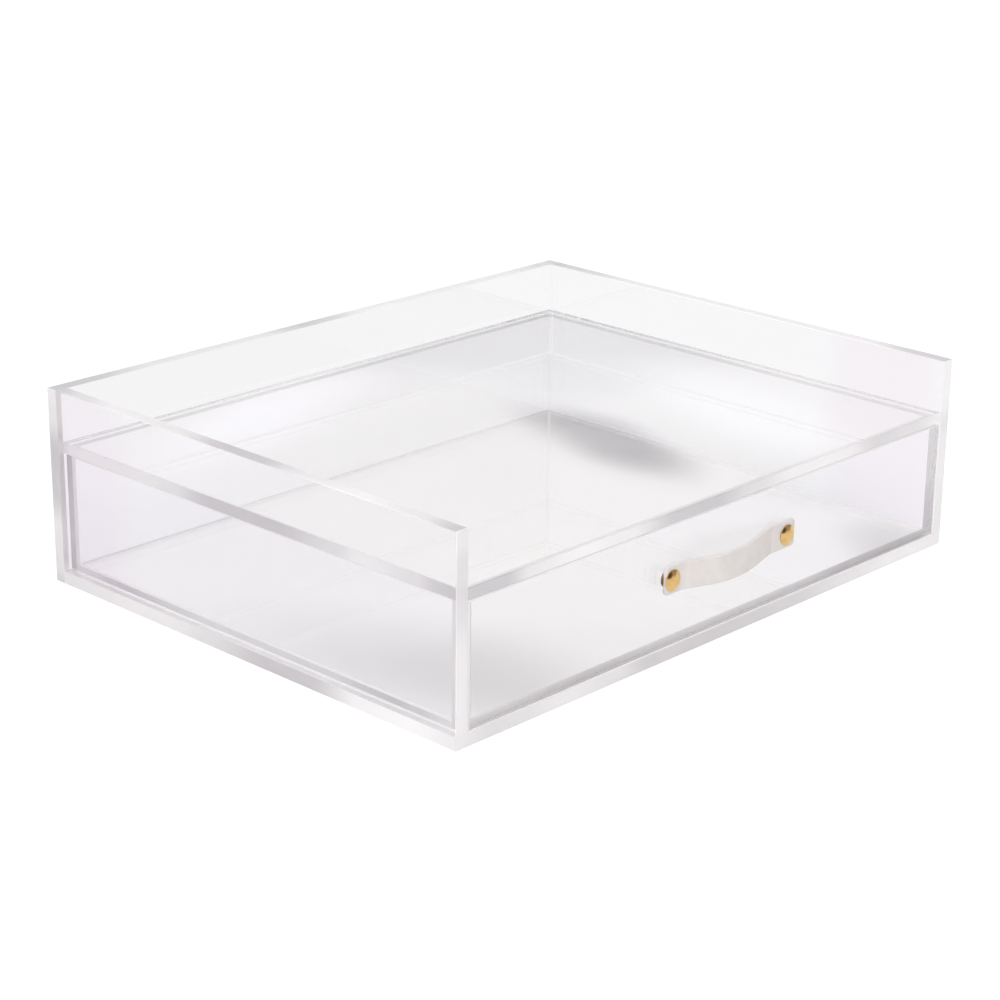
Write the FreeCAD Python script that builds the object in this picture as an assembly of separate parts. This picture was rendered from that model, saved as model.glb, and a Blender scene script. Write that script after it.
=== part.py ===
# Clear sheet desk organizer: an open paper tray over one sliding drawer with a strap pull.
# Millimetres. X runs along the front, Y to the back, Z up.
# The origin is the centre of the case's underside.
import FreeCAD, Part
import math
import os

# Case
case_width = 318.0
case_depth = 248.0
case_height = 89.0
wall_sheet = 6.0
base_sheet = 6.0
shelf_sheet = 5.0
tray_depth = 24.0

# Drawer
front_sheet = 6.0
side_sheet = 4.0
back_sheet = 4.0
bottom_sheet = 3.0
drawer_side_gap = 0.9
drawer_top_gap = 0.6
drawer_glide_gap = 0.4
drawer_back_gap = 0.5

# Polished break of the free sheet edges
edge_ease = 0.3

# Strap pull
strap_width = 12.4
strap_thickness = 2.0
strap_height = 37.0
strap_bow = 6.9
strap_apex_shift = -6.0
strap_foot_radius = 10.0
strap_left_margin = 3.4
strap_right_margin = 5.2
strap_left_flat = 0.7
strap_right_flat = 4.7
strap_corner_radius = 0.8
strap_steepness_share = 1.45

# Brass fixings of the strap
fixing_spacing = 75.0
head_diameter = 9.0
head_rim = 0.5
head_dome = 1.5
shank_diameter = 4.0
shank_depth = 4.0
shank_end_break = 0.4
washer_diameter = 8.0
washer_thickness = 0.8
hole_clearance = 0.1
tapped_clearance = 0.05
tapped_end_gap = 0.5

# How far a cutting tool runs past what it cuts, and how near counts as the same place
overrun = 1.0
same_place = 0.001

# Planes of the case
outer_x = case_width / 2
inner_x = outer_x - wall_sheet
front_y = -case_depth / 2
back_y = case_depth / 2
back_wall_y = back_y - wall_sheet
shelf_top = case_height - tray_depth
shelf_under = shelf_top - shelf_sheet

# Planes of the drawer
drawer_x = inner_x - drawer_side_gap
drawer_inner_x = drawer_x - side_sheet
front_back_y = front_y + front_sheet
drawer_back_y = back_wall_y - drawer_back_gap
drawer_end_y = drawer_back_y - back_sheet
drawer_under = base_sheet + drawer_glide_gap
drawer_floor = drawer_under + bottom_sheet
drawer_top = shelf_under - drawer_top_gap

# Places of the pull: the strap lies on the washers, in front of the drawer front
strap_back_y = front_y - washer_thickness
strap_face_y = strap_back_y - strap_thickness
fixing_x = fixing_spacing / 2
head_radius = head_diameter / 2
shank_radius = shank_diameter / 2
hole_radius = shank_radius + hole_clearance
tapped_radius = shank_radius + tapped_clearance
shank_end_y = front_y + shank_depth
tapped_end_y = shank_end_y + tapped_end_gap


def sheet(low_x, high_x, low_y, high_y, low_z, high_z):
    """A flat rectangular sheet between six planes."""
    corner = FreeCAD.Vector(low_x, low_y, low_z)
    return Part.makeBox(high_x - low_x, high_y - low_y, high_z - low_z, corner)


def lies_on(edge, place):
    """True if the edge lies wholly at the given x, y or z values."""
    return all(
        abs(getattr(vertex.Point, axis) - value) < same_place
        for vertex in edge.Vertexes
        for axis, value in place.items()
    )


def eased(solid, *places):
    """The sheet with its free edges at these places broken by the polished ease."""
    edges = [edge for edge in solid.Edges if any(lies_on(edge, place) for place in places)]
    return solid.makeChamfer(edge_ease, edges)


def rod(radius, start_y, end_y, centre_x):
    """A round bar along Y at the height of the strap."""
    start = FreeCAD.Vector(centre_x, start_y, strap_height)
    return Part.makeCylinder(radius, end_y - start_y, start, FreeCAD.Vector(0, 1, 0))


def rim_wedge():
    """The strip cut from the back wall's inner top edge between the side walls."""
    corners = [
        FreeCAD.Vector(-inner_x, back_wall_y, case_height - edge_ease),
        FreeCAD.Vector(-inner_x, back_wall_y + edge_ease, case_height),
        FreeCAD.Vector(-inner_x, back_wall_y - overrun, case_height + overrun),
    ]
    face = Part.Face(Part.makePolygon(corners + corners[:1]))
    return face.extrude(FreeCAD.Vector(2 * inner_x, 0, 0))


def case_base():
    """The bottom sheet, as wide as the case, from the front to the back wall."""
    base = sheet(-outer_x, outer_x, front_y, back_wall_y, 0, base_sheet)
    return eased(
        base,
        dict(y=front_y, z=0),
        dict(x=-outer_x, z=0),
        dict(x=outer_x, z=0),
        dict(x=-outer_x, y=front_y),
        dict(x=outer_x, y=front_y),
    )


def case_back_wall():
    """The back wall, as wide and as high as the case."""
    wall = sheet(-outer_x, outer_x, back_wall_y, back_y, 0, case_height)
    wall = eased(
        wall,
        dict(y=back_y),
        dict(x=-outer_x, z=0),
        dict(x=outer_x, z=0),
        dict(x=-outer_x, z=case_height),
        dict(x=outer_x, z=case_height),
    )
    return wall.cut(rim_wedge())


def case_side_wall(side):
    """A side wall on the base, from the front to the back wall; side is -1 left, 1 right."""
    faces = sorted((side * inner_x, side * outer_x))
    wall = sheet(*faces, front_y, back_wall_y, base_sheet, case_height)
    return eased(
        wall,
        dict(x=side * outer_x, z=case_height),
        dict(x=side * inner_x, z=case_height),
        dict(y=front_y, z=case_height),
        dict(x=side * outer_x, y=front_y),
    )


def tray_shelf():
    """The tray's floor, between the side walls and against the back wall."""
    shelf = sheet(-inner_x, inner_x, front_y, back_wall_y, shelf_under, shelf_top)
    return eased(shelf, dict(y=front_y, z=shelf_top), dict(y=front_y, z=shelf_under))


def drawer_front():
    """The drawer's front panel, flush with the case, with two blind tapped holes for the strap."""
    panel = sheet(-drawer_x, drawer_x, front_y, front_back_y, drawer_under, drawer_top)
    panel = eased(
        panel,
        dict(y=front_y),
        dict(x=-drawer_x, z=drawer_top),
        dict(x=drawer_x, z=drawer_top),
        dict(x=-drawer_x, z=drawer_under),
        dict(x=drawer_x, z=drawer_under),
        dict(y=front_back_y, z=drawer_top),
    )
    for side in (-1, 1):
        panel = panel.cut(rod(tapped_radius, front_y - overrun, tapped_end_y, side * fixing_x))
    return panel


def drawer_side(side):
    """A drawer side on the drawer's bottom; side is -1 left, 1 right."""
    faces = sorted((side * drawer_inner_x, side * drawer_x))
    panel = sheet(*faces, front_back_y, drawer_end_y, drawer_floor, drawer_top)
    return eased(
        panel,
        dict(x=side * drawer_x, z=drawer_top),
        dict(x=side * drawer_inner_x, z=drawer_top),
    )


def drawer_back():
    """The drawer's back panel, as wide and as high as the drawer."""
    panel = sheet(-drawer_x, drawer_x, drawer_end_y, drawer_back_y, drawer_under, drawer_top)
    return eased(
        panel,
        dict(y=drawer_back_y),
        dict(x=-drawer_x, z=drawer_under),
        dict(x=drawer_x, z=drawer_under),
        dict(x=-drawer_x, z=drawer_top),
        dict(x=drawer_x, z=drawer_top),
    )


def drawer_bottom():
    """The drawer's bottom sheet, between the front and the back panel."""
    floor = sheet(-drawer_x, drawer_x, front_back_y, drawer_end_y, drawer_under, drawer_floor)
    return eased(floor, dict(x=-drawer_x, z=drawer_under), dict(x=drawer_x, z=drawer_under))


def rise_path(foot_x, apex_x, flat_height):
    """One side of the strap's middle line, from its foot up to the apex.

    Returns (kind, stations): each station is x, height in front of the drawer and slope angle.
    """
    run = abs(apex_x - foot_x)
    way = math.copysign(1, apex_x - foot_x)
    angle = math.atan(strap_steepness_share * strap_bow / run)
    sine, cosine = math.sin(angle), math.cos(angle)
    turned = 1 - cosine
    foot_run, foot_rise = strap_foot_radius * sine, strap_foot_radius * turned
    rest_run, rest_rise = run - foot_run, strap_bow - foot_rise
    apex_radius = (rest_run * sine / cosine - rest_rise) / (sine * sine / cosine - turned)
    apex_height = flat_height + strap_bow

    def from_foot(turn):
        return (
            foot_x + way * strap_foot_radius * math.sin(turn),
            flat_height + strap_foot_radius * (1 - math.cos(turn)),
            way * turn,
        )

    def from_apex(turn):
        return (
            apex_x - way * apex_radius * math.sin(turn),
            apex_height - apex_radius * (1 - math.cos(turn)),
            way * turn,
        )

    foot_arc = ("arc", [from_foot(0), from_foot(angle / 2), from_foot(angle)])
    slope = ("line", [from_foot(angle), from_apex(angle)])
    apex_arc = ("arc", [from_apex(angle), from_apex(angle / 2), from_apex(0)])
    return [foot_arc, slope, apex_arc]


def strap_path():
    """The strap's middle line in plan, from its left end to its right end."""
    flat_height = washer_thickness + strap_thickness / 2
    left_foot = -fixing_x + head_radius + strap_left_flat
    right_foot = fixing_x - head_radius - strap_right_flat
    left_end = -fixing_x - strap_left_margin
    right_end = fixing_x + strap_right_margin
    left = rise_path(left_foot, strap_apex_shift, flat_height)
    right = rise_path(right_foot, strap_apex_shift, flat_height)
    start = ("line", [(left_end, flat_height, 0), (left_foot, flat_height, 0)])
    finish = ("line", [(right_foot, flat_height, 0), (right_end, flat_height, 0)])
    falling = [(kind, stations[::-1]) for kind, stations in right[::-1]]
    return [start] + left + falling + [finish]


def offset_edges(path, offset):
    """The edges of the path moved sideways by an offset, at the strap's lower edge."""
    low_z = strap_height - strap_width / 2
    edges = []
    for kind, stations in path:
        points = []
        for x, height, angle in stations:
            moved_x = x - offset * math.sin(angle)
            moved_height = height + offset * math.cos(angle)
            points.append(FreeCAD.Vector(moved_x, front_y - moved_height, low_z))
        if kind == "arc":
            edges.append(Part.Arc(*points).toShape())
        else:
            edges.append(Part.LineSegment(*points).toShape())
    return edges


def handle_strap():
    """The leather strap: flat under the heads and bowed out between them."""
    path = strap_path()
    half = strap_thickness / 2
    face_edges = offset_edges(path, half)
    back_edges = offset_edges(path, -half)
    ends = []
    for last in (0, -1):
        face_point = face_edges[last].Vertexes[last].Point
        back_point = back_edges[last].Vertexes[last].Point
        ends.append(Part.LineSegment(face_point, back_point).toShape())
    wire = Part.Wire(Part.__sortEdges__(face_edges + back_edges + ends))
    strap = Part.Face(wire).extrude(FreeCAD.Vector(0, 0, strap_width))
    end_places = (-fixing_x - strap_left_margin, fixing_x + strap_right_margin)
    corners = [
        edge
        for edge in strap.Edges
        for end_x in end_places
        for z in (strap_height - strap_width / 2, strap_height + strap_width / 2)
        if lies_on(edge, dict(x=end_x, z=z))
    ]
    strap = strap.makeFillet(strap_corner_radius, corners)
    for side in (-1, 1):
        hole = rod(hole_radius, strap_face_y - overrun, strap_back_y + overrun, side * fixing_x)
        strap = strap.cut(hole)
    return strap


def dome(centre_x):
    """The crowned front of a head: the cap of a ball on a short round rim."""
    ball_radius = (head_radius * head_radius + head_dome * head_dome) / (2 * head_dome)
    rim_y = strap_face_y - head_rim
    ball_centre = FreeCAD.Vector(centre_x, rim_y - head_dome + ball_radius, strap_height)
    ball = Part.makeSphere(ball_radius, ball_centre)
    blank = rod(head_radius, rim_y - head_dome - overrun, strap_face_y, centre_x)
    return blank.common(ball.fuse(rod(head_radius, rim_y, strap_face_y, centre_x)))


def strap_washer(side):
    """A brass washer between the strap and the drawer front."""
    centre_x = side * fixing_x
    disc = rod(washer_diameter / 2, strap_back_y, front_y, centre_x)
    return disc.cut(rod(hole_radius, strap_back_y - overrun, front_y + overrun, centre_x))


def strap_screw(side):
    """A brass screw: a domed head and a shank through strap and washer into the drawer front."""
    centre_x = side * fixing_x
    shank = rod(shank_radius, strap_face_y, shank_end_y, centre_x)
    tip = [edge for edge in shank.Edges if lies_on(edge, dict(y=shank_end_y))]
    return dome(centre_x).fuse(shank.makeChamfer(shank_end_break, tip)).removeSplitter()


def save(name, shape):
    """Writes one piece under its node's name."""
    solid = shape.Solids[0] if len(shape.Solids) == 1 else shape
    solid.exportStep("parts/" + name + ".step")


os.makedirs("parts", exist_ok=True)
save("case_base", case_base())
save("case_back_wall", case_back_wall())
save("tray_shelf", tray_shelf())
save("drawer_front", drawer_front())
save("drawer_back", drawer_back())
save("drawer_bottom", drawer_bottom())
save("handle_strap", handle_strap())
for side, word in ((-1, "left"), (1, "right")):
    save("case_" + word + "_wall", case_side_wall(side))
    save("drawer_" + word + "_side", drawer_side(side))
    save("strap_washer_" + word, strap_washer(side))
    save("strap_screw_" + word, strap_screw(side))
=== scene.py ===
# Clear sheet desk organizer: an open paper tray over one sliding drawer with a leather strap pull.
# Metres. X runs along the front, Y to the back, Z up. The origin is the centre of the case's underside.
import math

import bmesh
import bpy
from mathutils import Matrix, Vector


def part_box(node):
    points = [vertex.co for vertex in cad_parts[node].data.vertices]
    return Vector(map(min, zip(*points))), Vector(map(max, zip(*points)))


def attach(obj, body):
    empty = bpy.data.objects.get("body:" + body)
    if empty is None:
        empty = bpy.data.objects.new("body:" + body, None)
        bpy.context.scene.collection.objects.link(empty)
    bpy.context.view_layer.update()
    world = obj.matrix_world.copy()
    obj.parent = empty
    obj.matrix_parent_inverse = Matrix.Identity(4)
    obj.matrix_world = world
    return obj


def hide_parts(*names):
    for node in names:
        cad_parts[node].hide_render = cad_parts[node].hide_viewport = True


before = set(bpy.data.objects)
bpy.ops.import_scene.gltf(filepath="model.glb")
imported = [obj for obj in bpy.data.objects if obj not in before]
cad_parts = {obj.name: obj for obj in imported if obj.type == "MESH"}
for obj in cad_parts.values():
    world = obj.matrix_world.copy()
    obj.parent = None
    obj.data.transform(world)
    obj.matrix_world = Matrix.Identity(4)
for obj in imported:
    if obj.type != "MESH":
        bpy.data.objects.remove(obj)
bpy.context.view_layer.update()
scene = bpy.context.scene
MM = 0.001

# Sheets, by body
CASE_SHEETS = ["case_back_wall", "case_base", "case_left_wall", "case_right_wall", "tray_shelf"]
DRAWER_SHEETS = [
    "drawer_back", "drawer_bottom", "drawer_front", "drawer_left_side", "drawer_right_side",
]

# Camera
CAMERA_PLACE = (-0.7783, -0.7356, 0.4143)
CAMERA_RIGHT = (0.69258, -0.72125, 0.01103)
CAMERA_UP = (0.23679, 0.24177, 0.94100)
CAMERA_BACK = (-0.68137, -0.64911, 0.33823)
CAMERA_LENS = 91.35
CAMERA_SENSOR = 36.0
CAMERA_CLIP = 0.01

# Light paths: the sheets pass and reflect light many times
SHEET_BOUNCES = 72
DIFFUSE_BOUNCES = 8

# Acrylic
SHEET_IOR = 1.49
CONTACT_SLACK = 0.02 * MM
FACE_LIMIT = 0.9
# Level and upright sheets of the one acrylic get slightly different tints: painted light, warmer on the
# level sheets and cooler on the upright ones
UPRIGHT_TINT = (0.988, 0.984, 0.996, 1)
LEVEL_TINT = (0.992, 0.987, 0.986, 1)
PAINTED_PINK_TINT = (0.955, 0.915, 0.955, 1)
CAST_SCALE = 7.0
CAST_SHARE = 0.3
FACE_WAVE_STRENGTH = 0.05
FACE_WAVE_DEPTH = 3.0 * MM
DRIFT_SCALE = 60.0
DRIFT_ROUGHNESS = 0.01

# Edges of the sheets: their colour runs from a light to a dark tone in painted streaks of reflection
# and shade
EDGE_LIGHT = (0.875, 0.86, 0.868, 1)
EDGE_DARK = (0.54, 0.52, 0.545, 1)
EDGE_ROUGHNESS = 0.3
EDGE_CLEARNESS = 0.3
EDGE_CLOUD_SCALE = 34.0
EDGE_CLOUD_SHARE = 0.25

# Seams, where two sheets are bonded face to face; their light and dark stretches are painted reflection
# and shade
BOND_COVER = 0.98
BOND_ROUGHNESS = 0.45
BOND_LIGHT = (1.0, 0.985, 0.99, 1)
BOND_DARK = (0.68, 0.66, 0.685, 1)

# Painted reflections and shade on the edges, in light and dark stretches: by sheet and by the axis
# along which the edge runs, (millimetres, darkness from 0 to 1)
EVEN_PAINTED_EDGE_STREAK = ((-160, 0.25), (-60, 0.1), (0, 0.35), (60, 0.1), (160, 0.3))
PAINTED_EDGE_STREAKS = {
    "case_left_wall": {
        1: ((-124, 1.0), (-100, 0.3), (-70, 0.0), (-40, 0.25), (-10, 1.0), (10, 1.0), (38, 0.3),
            (80, 0.0), (104, 0.5), (124, 1.0)),
        2: ((5, 0.0), (40, 0.05), (58, 0.3), (76, 0.3), (84, 0.0)),
    },
    "case_right_wall": {
        1: ((-124, 0.8), (-104, 0.7), (-80, 0.0), (70, 0.0), (95, 0.5), (124, 0.7)),
        2: ((5, 0.05), (50, 0.0), (60, 0.2), (75, 0.0)),
    },
    "case_back_wall": {
        0: ((-159, 1.0), (-140, 0.9), (-100, 0.25), (-45, 0.2), (-12, 0.8), (4, 0.6), (25, 0.0),
            (120, 0.0), (150, 0.4), (159, 0.6)),
        2: ((0, 0.8), (7, 0.4), (26, 0.25), (42, 0.9), (64, 1.0), (76, 0.4), (89, 0.25)),
    },
    "drawer_back": {
        2: ((6, 1.0), (25, 0.8), (45, 0.85), (59, 1.0)),
    },
    "drawer_bottom": {
        1: ((-118, 0.3), (-100, 0.7), (-85, 1.0), (-70, 0.9), (-50, 0.4), (20, 0.3), (50, 0.6),
            (75, 1.0), (90, 0.8), (105, 0.4)),
    },
    "tray_shelf": {
        0: ((-153, 1.0), (-134, 1.0), (-118, 0.3), (-88, 0.0), (-62, 0.15), (-32, 0.95),
            (-12, 1.0), (18, 0.55), (45, 0.05), (80, 0.05), (105, 0.6), (130, 0.4), (153, 0.0)),
    },
    "case_base": {
        0: ((-159, 0.0), (-140, 0.35), (-100, 0.05), (-68, 0.2), (-45, 0.7), (40, 0.7), (90, 0.3),
            (125, 0.0), (159, 0.0)),
        1: ((-124, 0.3), (-100, 0.0), (-72, 0.15), (-42, 1.0), (-12, 1.0), (20, 0.5), (50, 0.2),
            (118, 0.4)),
    },
}

# Painted reflections and shade along the seams, in the same way: by pair of sheets and along the seam
EVEN_PAINTED_SEAM_STREAK = ((-160, 0.05), (160, 0.05))
PAINTED_SEAM_STREAKS = {
    ("case_back_wall", "case_left_wall"): ((5, 0.0), (26, 0.0), (42, 0.4), (64, 0.5), (76, 0.0)),
    ("case_left_wall", "tray_shelf"): (
        (-124, 1.0), (-112, 0.9), (-98, 0.4), (-70, 0.1), (-52, 0.5), (-20, 1.0), (20, 1.0),
        (46, 0.4), (60, 0.2), (118, 0.1),
    ),
    ("drawer_bottom", "drawer_front"): (
        (-152, 0.2), (-140, 0.3), (-80, 0.6), (-40, 0.4), (60, 0.5), (90, 0.9), (125, 1.0),
        (152, 0.8),
    ),
    ("drawer_front", "drawer_right_side"): ((9, 1.0), (20, 0.8), (35, 0.5), (59, 0.4)),
    ("drawer_front", "drawer_left_side"): ((9, 0.5), (59, 0.5)),
}
# Seams that don't show
CLEAR_BONDS = (
    ("case_back_wall", "case_right_wall"),
    ("case_back_wall", "tray_shelf"),
    ("case_right_wall", "tray_shelf"),
    ("drawer_back", "drawer_bottom"),
    ("drawer_back", "drawer_right_side"),
    ("drawer_bottom", "drawer_right_side"),
)

# Painted pink reflection on the faces, placed along Y: (millimetres, pinkness from 0 to 1)
NO_PAINTED_PINK_REFLECTION = ((0, 0.0), (1, 0.0))
PAINTED_PINK_REFLECTION = {
    "case_left_wall": ((-124, 0.0), (60, 0.0), (95, 1.0), (118, 1.0)),
    "case_right_wall": ((-124, 0.3), (-105, 1.0), (-75, 1.0), (-50, 0.0), (118, 0.0)),
}

# Strap pull, as in the solids
STRAP_WIDTH = 12.4 * MM
STRAP_THICKNESS = 2.0 * MM
STRAP_HEIGHT = 37.0 * MM
STRAP_BOW = 6.9 * MM
STRAP_APEX = -6.0 * MM
STRAP_FOOT_RADIUS = 10.0 * MM
STRAP_LEFT_MARGIN = 3.4 * MM
STRAP_RIGHT_MARGIN = 5.2 * MM
STRAP_LEFT_FLAT = 0.7 * MM
STRAP_RIGHT_FLAT = 4.7 * MM
STRAP_STEEPNESS = 1.45
STRAP_EDGE = 0.55 * MM
STRAP_CORNER = 0.8 * MM
FIXING_X = 37.5 * MM
HEAD_RADIUS = 4.5 * MM
WASHER_THICKNESS = 0.8 * MM
FRONT_Y = -124.0 * MM

# Fineness of the strap's mesh
STRAP_ROWS = 10
RISE_STEPS = 14
FLAT_STEPS = 16
EDGE_STEPS = 6

# Leather
LEATHER_DARK = (0.640, 0.604, 0.590)
LEATHER_LIGHT = (0.690, 0.656, 0.644)
LEATHER_GRAIN = (0.56, 0.51, 0.49, 1)
LEATHER_IOR = 1.45
MOTTLE_SCALE = 160.0
GRAIN_SCALE = 1900.0
GRAIN_SHARE = 0.16
FINE_SCALE = 3800.0
GRAIN_HEIGHT = 0.7
FINE_HEIGHT = 0.3
LEATHER_BUMP_STRENGTH = 0.35
LEATHER_BUMP_DEPTH = 0.12 * MM

# Brass: dull and bright tone. The washers' brass is a far darker copy, painted shade
SCREW_TONES = ((0.70, 0.45, 0.17), (0.80, 0.55, 0.24))
WASHER_SHADED_TONES = ((0.20, 0.12, 0.06), (0.34, 0.21, 0.11))
TARNISH_SCALE = 420.0
SCRATCH_SCALE = 900.0
SCRATCH_STRETCH = (1.0, 1.0, 14.0)
BRASS_BUMP_STRENGTH = 0.08
BRASS_BUMP_DEPTH = 0.05 * MM

# Surroundings: angles in degrees, azimuth from the middle of the far side
SKY_MIDDLE = 46.4
SKY_LOW = (0.95, 0.945, 0.94)
SKY_HIGH = (1.05, 1.05, 1.06)
SKY_LOW_END = 0.3
SKY_HIGH_START = 0.7
# Soft ovals: colour, (azimuth, elevation), (half width, half height), lean, softness
SKY_SPOTS = (
    ((0.59, 0.59, 0.61), (0.0, 8.0), (16.0, 9.65), 0.0, 0.12),
    ((0.80, 0.79, 0.80), (2.4, 18.6), (3.4, 0.8), 0.28, 0.9),
    ((0.31, 0.30, 0.32), (2.5, 18.35), (3.0, 0.75), 0.28, 0.75),
    ((0.80, 0.79, 0.80), (8.0, 19.3), (3.0, 0.7), 0.0, 0.8),
    ((0.36, 0.35, 0.36), (9.5, 20.6), (1.9, 0.8), 0.2, 0.9),
    ((1.16, 1.16, 1.21), (-5.7, 17.95), (3.7, 1.0), -0.30, 0.8),
    ((1.10, 1.10, 1.12), (6.0, 17.7), (3.4, 0.95), 0.22, 0.8),
    ((0.84, 0.83, 0.84), (1.0, 25.6), (12.0, 3.4), 0.0, 0.25),
    ((0.24, 0.23, 0.24), (-1.0, 23.75), (8.0, 1.45), 0.18, 0.9),
    ((0.42, 0.40, 0.37), (87.0, 23.0), (34.0, 23.0), 0.0, 0.35),
    ((0.10, 0.07, 0.045), (134.0, 24.0), (32.0, 26.0), 0.0, 0.3),
    ((0.10, 0.07, 0.045), (48.0, 22.0), (24.0, 22.0), 0.0, 0.35),
)

# Floor: its glow as seen straight, and as seen through or in the sheets
FLOOR_SIZE = 60.0
FLOOR_DROP = 0.25 * MM
FLOOR_GLOW_SEEN = 0.8
FLOOR_GLOW_THROUGH = 0.64
FLOOR_SHADED = (0.28, 0.28, 0.28, 1)
FLOOR_BOUNCE = (0.88, 0.88, 0.88, 1)
WHITE = (1, 1, 1, 1)

# Lamp
LAMP_PLACE = (-1.2, -1.55, 2.0)
LAMP_WIDTH = 1.6
LAMP_DEPTH = 1.2
LAMP_POWER = 36.0


class Nodes:
    """Adds shader nodes to a tree and joins them in few words."""

    def __init__(self, tree):
        self.tree = tree
        tree.nodes.clear()

    def add(self, kind, inputs=None, **settings):
        node = self.tree.nodes.new(kind)
        for name, value in settings.items():
            setattr(node, name, value)
        for name, value in (inputs or {}).items():
            self.put(node.inputs[name], value)
        return node

    def put(self, socket, value):
        if isinstance(value, bpy.types.NodeSocket):
            self.tree.links.new(value, socket)
        else:
            socket.default_value = value

    def math(self, operation, *values):
        node = self.add("ShaderNodeMath", operation=operation)
        for socket, value in zip(node.inputs, values):
            self.put(socket, value)
        return node.outputs[0]

    def vector(self, operation, *values):
        node = self.add("ShaderNodeVectorMath", operation=operation)
        for socket, value in zip(node.inputs, values):
            self.put(socket, value)
        return node.outputs["Vector"]

    def split(self, vector):
        return self.add("ShaderNodeSeparateXYZ", {"Vector": vector}).outputs

    def share(self, value, low, high):
        """How far a value is from low (0) to high (1)."""
        inputs = {"Value": value, "From Min": low, "From Max": high}
        return self.add("ShaderNodeMapRange", inputs).outputs[0]

    def ramp(self, factor, *stops):
        """A soft ramp. Each stop is a place from 0 to 1 with a colour or a level."""
        node = self.add("ShaderNodeValToRGB", {"Fac": factor})
        ramp = node.color_ramp
        ramp.interpolation = "EASE"
        while len(ramp.elements) < len(stops):
            ramp.elements.new(0.5)
        for element, (place, colour) in zip(ramp.elements, stops):
            element.position = place
            element.color = (*colour, 1) if hasattr(colour, "__len__") else (colour,) * 3 + (1,)
        return node.outputs["Color"]

    def blend(self, factor, a, b):
        node = self.add("ShaderNodeMix", data_type="RGBA")
        self.put(node.inputs["Factor"], factor)
        for socket, value in zip([s for s in node.inputs if s.type == "RGBA"], (a, b)):
            self.put(socket, value)
        return [s for s in node.outputs if s.type == "RGBA"][0]

    def noise(self, place, scale, detail=2.0, roughness=0.5):
        inputs = {"Vector": place, "Scale": scale, "Detail": detail, "Roughness": roughness}
        return self.add("ShaderNodeTexNoise", inputs).outputs["Fac"]

    def bump(self, height, strength, depth):
        inputs = {"Height": height, "Strength": strength, "Distance": depth}
        return self.add("ShaderNodeBump", inputs).outputs["Normal"]

    def finish_surface(self, inputs):
        shader = self.add("ShaderNodeBsdfPrincipled", inputs)
        self.add("ShaderNodeOutputMaterial", {"Surface": shader.outputs[0]})


def new_material(name):
    material = bpy.data.materials.new(name)
    material.use_nodes = True
    return material, Nodes(material.node_tree)


def give(obj, material):
    obj.data.materials.clear()
    obj.data.materials.append(material)


def thin_axis(low, high):
    return min(range(3), key=lambda axis: high[axis] - low[axis])


def long_axis(low, high):
    return max(range(3), key=lambda axis: high[axis] - low[axis])


def touching(low_a, high_a, low_b, high_b):
    """The box that two sheets share, or None if they don't meet in a face."""
    low = Vector(max(a, b) for a, b in zip(low_a, low_b))
    high = Vector(min(a, b) for a, b in zip(high_a, high_b))
    thin = sum(1 for axis in range(3) if high[axis] - low[axis] < CONTACT_SLACK)
    meets = all(high[axis] - low[axis] > -CONTACT_SLACK for axis in range(3))
    return (low, high) if meets and thin == 1 else None


def bonds_of(name, others):
    """The faces at which a sheet is bonded to others, with the other sheet's name."""
    found = []
    for other in others:
        shared = touching(*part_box(name), *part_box(other)) if other != name else None
        if shared:
            found.append((other, *shared))
    return found


def lies_before(name, other, axis):
    """Whether a sheet is on the left, front or upper side of the one that it is bonded to."""
    own, far = (sum(corner[axis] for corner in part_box(sheet)) for sheet in (name, other))
    return own > far if axis == 2 else own < far


def tone_along(nodes, parts, axis, low, high, stops):
    """Soft light and dark stretches along one axis: stops are (millimetres, darkness 0 to 1)."""
    places = [((place * MM - low) / (high - low), level) for place, level in stops]
    clamped = [(min(1.0, max(0.0, place)), level) for place, level in places]
    return nodes.ramp(nodes.share(parts[axis], low, high), *clamped)


def inside_box(nodes, place, low, high):
    """1 inside a box with a little slack, 0 outside."""
    centre = (low + high) / 2
    half = (high - low) / 2 + Vector((CONTACT_SLACK,) * 3)
    away = nodes.vector("ABSOLUTE", nodes.vector("SUBTRACT", place, centre))
    over = nodes.split(nodes.vector("SUBTRACT", away, half))
    worst = nodes.math("MAXIMUM", nodes.math("MAXIMUM", over[0], over[1]), over[2])
    return nodes.math("LESS_THAN", worst, 0.0)


def painted_edge_colour(nodes, name, place, parts, facing):
    """Edges with soft streaks of painted reflection and shade: an edge that faces one way is streaked
    along the other.
    """
    low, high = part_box(name)
    first, second = [axis for axis in range(3) if axis != thin_axis(low, high)]
    # Painted reflections and shade: light and dark stretches along each edge
    painted_streaks = PAINTED_EDGE_STREAKS.get(name, {})
    tones = [
        tone_along(nodes, parts, axis, low[axis], high[axis], painted_streaks.get(axis, EVEN_PAINTED_EDGE_STREAK))
        for axis in (first, second)
    ]
    faces_first = nodes.math("GREATER_THAN", facing[first], facing[second])
    painted_tone = nodes.blend(faces_first, *tones)
    cloud = nodes.math("SUBTRACT", nodes.noise(place, EDGE_CLOUD_SCALE), 0.5)
    painted_tone = nodes.math("MULTIPLY_ADD", cloud, EDGE_CLOUD_SHARE, painted_tone)
    return nodes.blend(painted_tone, EDGE_LIGHT, EDGE_DARK)


def face_colour(nodes, name, parts, cast):
    """Clear faces with a faint cast, painted tints by how the sheet lies, and a painted pink reflection
    in places.
    """
    low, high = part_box(name)
    # Painted light: level sheets get a warmer tint and upright ones a cooler one
    tint = LEVEL_TINT if thin_axis(low, high) == 2 else UPRIGHT_TINT
    # Painted pink reflection, placed along Y
    pink_reflection = tone_along(nodes, parts, 1, low[1], high[1], PAINTED_PINK_REFLECTION.get(name, NO_PAINTED_PINK_REFLECTION))
    pinked = nodes.blend(pink_reflection, tint, PAINTED_PINK_TINT)
    return nodes.blend(nodes.math("MULTIPLY", cast, CAST_SHARE), pinked, tint)


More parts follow.
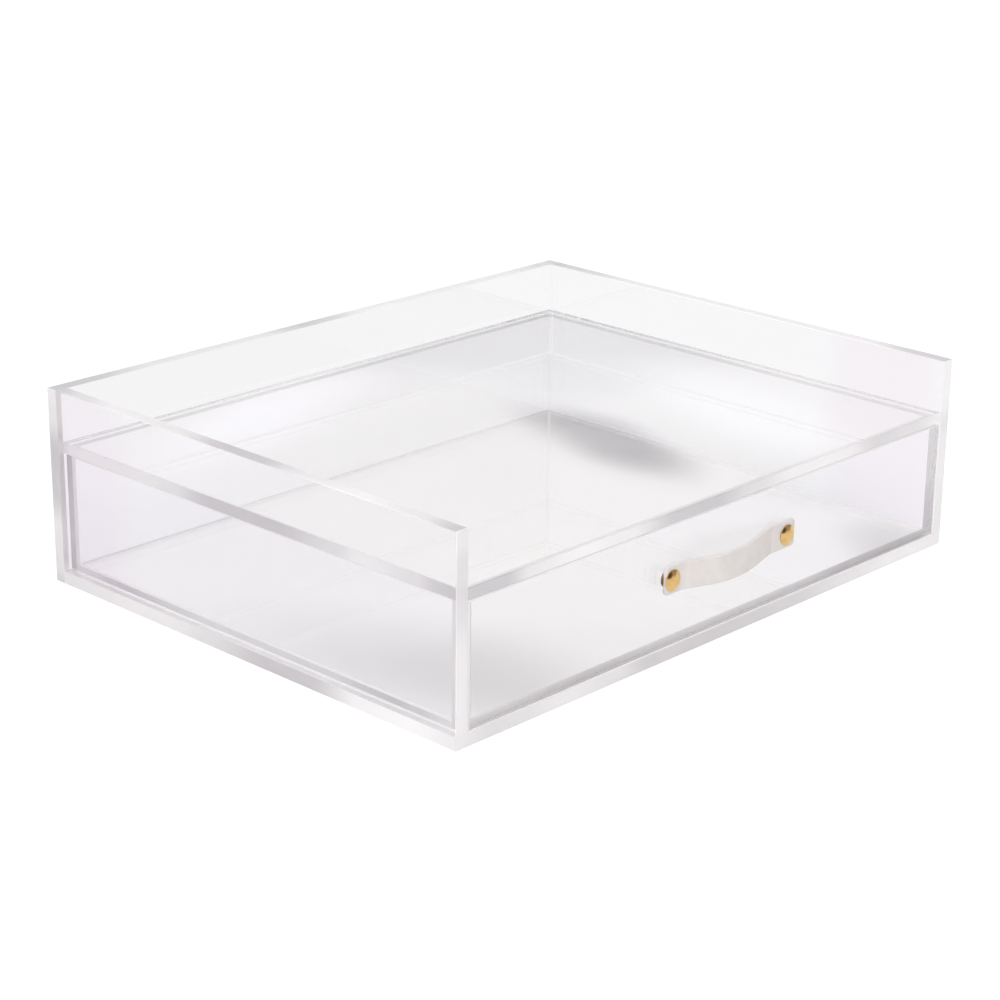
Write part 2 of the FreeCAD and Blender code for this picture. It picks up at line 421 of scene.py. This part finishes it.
def seams(nodes, name, others, place, parts, inside, outside):
    """Where a sheet is bonded, where that shows as a frosted seam, and the seam's colour with its
    painted streaks of reflection and shade.

    The two faces of a seam lie in one plane. Both show it as seen from the left, the front and
    above, and neither as seen from the other side, so that no light is caught between the two.
    """
    bonded, shown, painted_tone = 0.0, 0.0, 0.0
    for other, low, high in bonds_of(name, others):
        here = inside_box(nodes, place, low, high)
        bonded = nodes.math("MAXIMUM", bonded, here)
        pair = tuple(sorted((name, other)))
        if pair in CLEAR_BONDS:
            continue
        side = inside if lies_before(name, other, thin_axis(low, high)) else outside
        shown = nodes.math("MAXIMUM", shown, nodes.math("MULTIPLY", here, side))
        run = long_axis(low, high)
        # Painted reflections and shade: darker and lighter stretches along the seam
        stops = PAINTED_SEAM_STREAKS.get(pair, EVEN_PAINTED_SEAM_STREAK)
        level = tone_along(nodes, parts, run, low[run], high[run], stops)
        painted_tone = nodes.math("MAXIMUM", painted_tone, nodes.math("MULTIPLY", here, level))
    return bonded, shown, nodes.blend(painted_tone, BOND_LIGHT, BOND_DARK)


def acrylic(name, others):
    """Clear cast sheet: polished faces, edges with painted streaks of reflection and shade, and seams
    to the sheets beside it.
    """
    material, nodes = new_material(name + "_acrylic")
    place = nodes.add("ShaderNodeTexCoord").outputs["Object"]
    parts = nodes.split(place)
    surface = nodes.add("ShaderNodeNewGeometry").outputs
    inside = surface["Backfacing"]
    outside = nodes.math("SUBTRACT", 1.0, inside)
    facing = nodes.split(nodes.vector("ABSOLUTE", surface["True Normal"]))
    narrow = nodes.math("LESS_THAN", facing[thin_axis(*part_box(name))], FACE_LIMIT)
    edge = nodes.math("MULTIPLY", narrow, outside)
    cast = nodes.noise(place, CAST_SCALE, 1.0)

    bonded, shown, seam_colour = seams(nodes, name, others, place, parts, inside, outside)
    unbonded = nodes.math("SUBTRACT", 1.0, bonded)
    colour = nodes.blend(
        edge,
        face_colour(nodes, name, parts, cast),
        painted_edge_colour(nodes, name, place, parts, facing),
    )
    colour = nodes.blend(bonded, colour, seam_colour)
    transmission = nodes.math("MULTIPLY_ADD", edge, EDGE_CLEARNESS - 1.0, 1.0)
    drift = nodes.math("MULTIPLY", nodes.noise(place, DRIFT_SCALE), DRIFT_ROUGHNESS)
    rough = nodes.math("MULTIPLY_ADD", narrow, EDGE_ROUGHNESS, drift)
    rough = nodes.math("MAXIMUM", rough, nodes.math("MULTIPLY", bonded, BOND_ROUGHNESS))
    nodes.finish_surface({
        "Base Color": colour,
        "Metallic": bonded,
        "Roughness": rough,
        "IOR": SHEET_IOR,
        "Transmission Weight": nodes.math("MULTIPLY", transmission, unbonded),
        "Alpha": nodes.math("MULTIPLY_ADD", shown, BOND_COVER, unbonded),
        "Normal": nodes.bump(cast, FACE_WAVE_STRENGTH, FACE_WAVE_DEPTH),
    })
    return material


def leather():
    """Smooth pale leather: a fine closed grain and faint mottling."""
    material, nodes = new_material("strap_leather")
    place = nodes.add("ShaderNodeTexCoord").outputs["Object"]
    mottle = nodes.noise(place, MOTTLE_SCALE, 4.0, 0.6)
    grain = nodes.add(
        "ShaderNodeTexVoronoi", {"Vector": place, "Scale": GRAIN_SCALE}, feature="SMOOTH_F1"
    ).outputs["Distance"]
    fine = nodes.noise(place, FINE_SCALE, 3.0, 0.6)
    face = nodes.ramp(mottle, (0.3, LEATHER_DARK), (0.7, LEATHER_LIGHT))
    height = nodes.math(
        "ADD",
        nodes.math("MULTIPLY", grain, GRAIN_HEIGHT),
        nodes.math("MULTIPLY", fine, FINE_HEIGHT),
    )
    nodes.finish_surface({
        "Base Color": nodes.blend(nodes.math("MULTIPLY", grain, GRAIN_SHARE), face, LEATHER_GRAIN),
        "Roughness": nodes.ramp(mottle, (0.2, 0.46), (0.8, 0.58)),
        "IOR": LEATHER_IOR,
        "Sheen Weight": 0.08,
        "Sheen Roughness": 0.5,
        "Normal": nodes.bump(height, LEATHER_BUMP_STRENGTH, LEATHER_BUMP_DEPTH),
    })
    return material


def brass(name, dull, bright):
    """Polished brass with a faint turned finish, between two tones."""
    material, nodes = new_material(name)
    place = nodes.add("ShaderNodeTexCoord").outputs["Object"]
    tarnish = nodes.noise(place, TARNISH_SCALE, 3.0, 0.6)
    scratches = nodes.noise(nodes.vector("MULTIPLY", place, SCRATCH_STRETCH), SCRATCH_SCALE)
    nodes.finish_surface({
        "Base Color": nodes.ramp(tarnish, (0.25, dull), (0.75, bright)),
        "Metallic": 1.0,
        "Roughness": nodes.ramp(scratches, (0.2, 0.12), (0.8, 0.24)),
        "Normal": nodes.bump(scratches, BRASS_BUMP_STRENGTH, BRASS_BUMP_DEPTH),
    })
    return material


def rise_path(foot_x, apex_x, flat_height):
    """One side of the strap's middle line, from its foot up to the apex: x, height, slope."""
    run = abs(apex_x - foot_x)
    way = math.copysign(1, apex_x - foot_x)
    angle = math.atan(STRAP_STEEPNESS * STRAP_BOW / run)
    sine, cosine = math.sin(angle), math.cos(angle)
    turned = 1 - cosine
    foot_run, foot_rise = STRAP_FOOT_RADIUS * sine, STRAP_FOOT_RADIUS * turned
    rest_run, rest_rise = run - foot_run, STRAP_BOW - foot_rise
    apex_radius = (rest_run * sine / cosine - rest_rise) / (sine * sine / cosine - turned)
    line = []
    for step in range(RISE_STEPS + 1):
        turn = angle * step / RISE_STEPS
        line.append((
            foot_x + way * STRAP_FOOT_RADIUS * math.sin(turn),
            flat_height + STRAP_FOOT_RADIUS * (1 - math.cos(turn)),
            way * turn,
        ))
    for step in range(RISE_STEPS, -1, -1):
        turn = angle * step / RISE_STEPS
        line.append((
            apex_x - way * apex_radius * math.sin(turn),
            flat_height + STRAP_BOW - apex_radius * (1 - math.cos(turn)),
            way * turn,
        ))
    return line


def strap_line():
    """The strap's whole middle line in plan, from its left end to its right end."""
    flat_height = WASHER_THICKNESS + STRAP_THICKNESS / 2
    left_foot = -FIXING_X + HEAD_RADIUS + STRAP_LEFT_FLAT
    right_foot = FIXING_X - HEAD_RADIUS - STRAP_RIGHT_FLAT
    left_end = -FIXING_X - STRAP_LEFT_MARGIN
    right_end = FIXING_X + STRAP_RIGHT_MARGIN
    left = rise_path(left_foot, STRAP_APEX, flat_height)
    right = rise_path(right_foot, STRAP_APEX, flat_height)[::-1]
    flat_left = [
        (left_end + (left_foot - left_end) * step / FLAT_STEPS, flat_height, 0.0)
        for step in range(FLAT_STEPS)
    ]
    flat_right = [
        (right_foot + (right_end - right_foot) * step / FLAT_STEPS, flat_height, 0.0)
        for step in range(1, FLAT_STEPS + 1)
    ]
    return flat_left + left + right[1:] + flat_right


def strap_section(cut):
    """The strap's cross-section with rounded edges: (out of the drawer, along Z)."""
    half_thick = STRAP_THICKNESS / 2
    half_wide = STRAP_WIDTH / 2 - cut
    points = []
    for out_sign, up_sign, start in ((1, 1, 0), (-1, 1, 90), (-1, -1, 180), (1, -1, 270)):
        out = out_sign * (half_thick - STRAP_EDGE)
        up = up_sign * (half_wide - STRAP_EDGE)
        for step in range(EDGE_STEPS + 1):
            turn = math.radians(start + 90 * step / EDGE_STEPS)
            points.append((out + STRAP_EDGE * math.cos(turn), up + STRAP_EDGE * math.sin(turn)))
    dense = []
    for index, point in enumerate(points):
        following = points[(index + 1) % len(points)]
        along_height = abs(following[1] - point[1]) > half_wide
        pieces = STRAP_ROWS if along_height else 1
        for step in range(pieces):
            share = step / pieces
            dense.append(tuple(a + (b - a) * share for a, b in zip(point, following)))
    return dense


def corner_cut(from_end):
    """How far the strap's rounded corner draws its side in, at a distance from the end."""
    reach = max(0.0, STRAP_CORNER - from_end)
    return STRAP_CORNER - math.sqrt(max(0.0, STRAP_CORNER ** 2 - reach ** 2))


def strap_form(form):
    """The leather strap swept along its line, its ends drawn in to rounded corners."""
    line = strap_line()
    start, finish = line[0][0], line[-1][0]
    rings = []
    for x, height, slope in line:
        ring = []
        for out, up in strap_section(corner_cut(min(x - start, finish - x))):
            ring.append(form.verts.new((
                x - out * math.sin(slope),
                FRONT_Y - (height + out * math.cos(slope)),
                STRAP_HEIGHT + up,
            )))
        rings.append(ring)
    count = len(rings[0])
    for first, second in zip(rings, rings[1:]):
        for index in range(count):
            following = (index + 1) % count
            form.faces.new((first[index], first[following], second[following], second[index]))
    form.faces.new(rings[0])
    form.faces.new(rings[-1][::-1])


def build_strap():
    """The strap as a finer mesh in place of the plain solid, riding on the drawer."""
    mesh = bpy.data.meshes.new("leather_strap")
    form = bmesh.new()
    strap_form(form)
    bmesh.ops.recalc_face_normals(form, faces=form.faces)
    form.to_mesh(mesh)
    form.free()
    for polygon in mesh.polygons:
        polygon.use_smooth = True
    strap = bpy.data.objects.new("leather_strap", mesh)
    scene.collection.objects.link(strap)
    give(strap, leather())
    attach(strap, "drawer")
    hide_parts("handle_strap")


def dress_sheets():
    for group in (CASE_SHEETS, DRAWER_SHEETS):
        for name in group:
            give(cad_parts[name], acrylic(name, group))


def dress_fixings():
    screw_brass = brass("screw_brass", *SCREW_TONES)
    # Painted shade: the washers' brass is darkened as if it lay in shade
    shaded_washer_brass = brass("shaded_washer_brass", *WASHER_SHADED_TONES)
    for side in ("left", "right"):
        give(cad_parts["strap_screw_" + side], screw_brass)
        give(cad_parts["strap_washer_" + side], shaded_washer_brass)


def build_camera():
    camera = bpy.data.objects.new("view_camera", bpy.data.cameras.new("view_camera"))
    scene.collection.objects.link(camera)
    axes = Matrix((CAMERA_RIGHT, CAMERA_UP, CAMERA_BACK)).transposed()
    camera.matrix_world = Matrix.Translation(CAMERA_PLACE) @ axes.normalized().to_4x4()
    camera.data.sensor_width = CAMERA_SENSOR
    camera.data.lens = CAMERA_LENS
    camera.data.clip_start = CAMERA_CLIP
    scene.camera = camera


def soft_spot(nodes, azimuth, elevation, centre, reach, lean, softness):
    """1 in the middle of a soft oval of the sky, 0 outside; angles in degrees."""
    aside = nodes.math("SUBTRACT", azimuth, centre[0])
    level = nodes.math("MULTIPLY_ADD", aside, lean, centre[1])
    across = nodes.math("DIVIDE", aside, reach[0])
    up = nodes.math("DIVIDE", nodes.math("SUBTRACT", elevation, level), reach[1])
    across_squared = nodes.math("MULTIPLY", across, across)
    away = nodes.math("SQRT", nodes.math("MULTIPLY_ADD", up, up, across_squared))
    fade = nodes.add(
        "ShaderNodeMapRange",
        {"Value": away, "From Min": 1.0 - softness, "From Max": 1.0, "To Min": 1.0, "To Max": 0.0},
        interpolation_type="SMOOTHSTEP",
    )
    return fade.outputs[0]


def build_world():
    """Soft studio surroundings: pale all round, a brighter ceiling, some soft reflections."""
    world = bpy.data.worlds.new("studio")
    scene.world = world
    world.use_nodes = True
    nodes = Nodes(world.node_tree)
    parts = nodes.split(nodes.add("ShaderNodeTexCoord").outputs["Generated"])
    azimuth = nodes.math("DEGREES", nodes.math("ARCTAN2", parts[0], parts[1]))
    azimuth = nodes.math("SUBTRACT", azimuth, SKY_MIDDLE)
    azimuth = nodes.math("WRAP", azimuth, 180.0, -180.0)
    elevation = nodes.math("DEGREES", nodes.math("ARCSINE", parts[2]))
    colour = nodes.ramp(
        nodes.share(elevation, 0.0, 90.0),
        (0.0, SKY_LOW), (SKY_LOW_END, SKY_LOW), (SKY_HIGH_START, SKY_HIGH), (1.0, SKY_HIGH),
    )
    for level, centre, reach, lean, softness in SKY_SPOTS:
        spot = soft_spot(nodes, azimuth, elevation, centre, reach, lean, softness)
        colour = nodes.blend(spot, colour, (*level, 1))
    back = nodes.add("ShaderNodeBackground", {"Color": colour, "Strength": 1.0})
    nodes.add("ShaderNodeOutputWorld", {"Surface": back.outputs[0]})


def floor_material():
    """Near white as seen straight and through the sheets, with the object's soft shadow."""
    material, nodes = new_material("studio_floor")
    rays = nodes.add("ShaderNodeLightPath").outputs
    seen = rays["Is Camera Ray"]
    through = nodes.math("MAXIMUM", rays["Is Glossy Ray"], rays["Is Transmission Ray"])
    through = nodes.math("MULTIPLY", through, nodes.math("SUBTRACT", 1.0, seen))
    level = nodes.math(
        "ADD",
        nodes.math("MULTIPLY", seen, FLOOR_GLOW_SEEN),
        nodes.math("MULTIPLY", through, FLOOR_GLOW_THROUGH),
    )
    shaded = nodes.add("ShaderNodeBsdfDiffuse", {"Color": FLOOR_SHADED})
    bounce = nodes.add("ShaderNodeBsdfDiffuse", {"Color": FLOOR_BOUNCE})
    glow = nodes.add("ShaderNodeEmission", {"Color": WHITE, "Strength": level})
    shown = nodes.add("ShaderNodeAddShader")
    nodes.put(shown.inputs[0], shaded.outputs[0])
    nodes.put(shown.inputs[1], glow.outputs[0])
    pick = nodes.add("ShaderNodeMixShader", {"Fac": nodes.math("MAXIMUM", seen, through)})
    nodes.put(pick.inputs[1], bounce.outputs[0])
    nodes.put(pick.inputs[2], shown.outputs[0])
    nodes.add("ShaderNodeOutputMaterial", {"Surface": pick.outputs[0]})
    material.cycles.emission_sampling = "NONE"
    return material


def build_floor():
    bpy.ops.mesh.primitive_plane_add(size=FLOOR_SIZE, location=(0, 0, -FLOOR_DROP))
    floor = bpy.context.object
    floor.name = "studio_floor"
    give(floor, floor_material())


def build_light():
    """A wide soft lamp high at the front left."""
    data = bpy.data.lights.new("soft_lamp", "AREA")
    data.shape = "RECTANGLE"
    data.size, data.size_y = LAMP_WIDTH, LAMP_DEPTH
    data.energy = LAMP_POWER
    lamp = bpy.data.objects.new("soft_lamp", data)
    scene.collection.objects.link(lamp)
    lamp.visible_glossy = False
    lamp.visible_transmission = False
    lamp.location = LAMP_PLACE
    lamp.rotation_euler = (-lamp.location).to_track_quat("-Z", "Y").to_euler()


def set_light_paths():
    scene.view_settings.view_transform = "Standard"
    scene.cycles.max_bounces = SHEET_BOUNCES
    scene.cycles.diffuse_bounces = DIFFUSE_BOUNCES
    scene.cycles.transmission_bounces = SHEET_BOUNCES
    scene.cycles.glossy_bounces = SHEET_BOUNCES
    scene.cycles.transparent_max_bounces = SHEET_BOUNCES
    scene.cycles.blur_glossy = 0.0


dress_sheets()
dress_fixings()
build_strap()
build_camera()
build_world()
build_floor()
build_light()
set_light_paths()
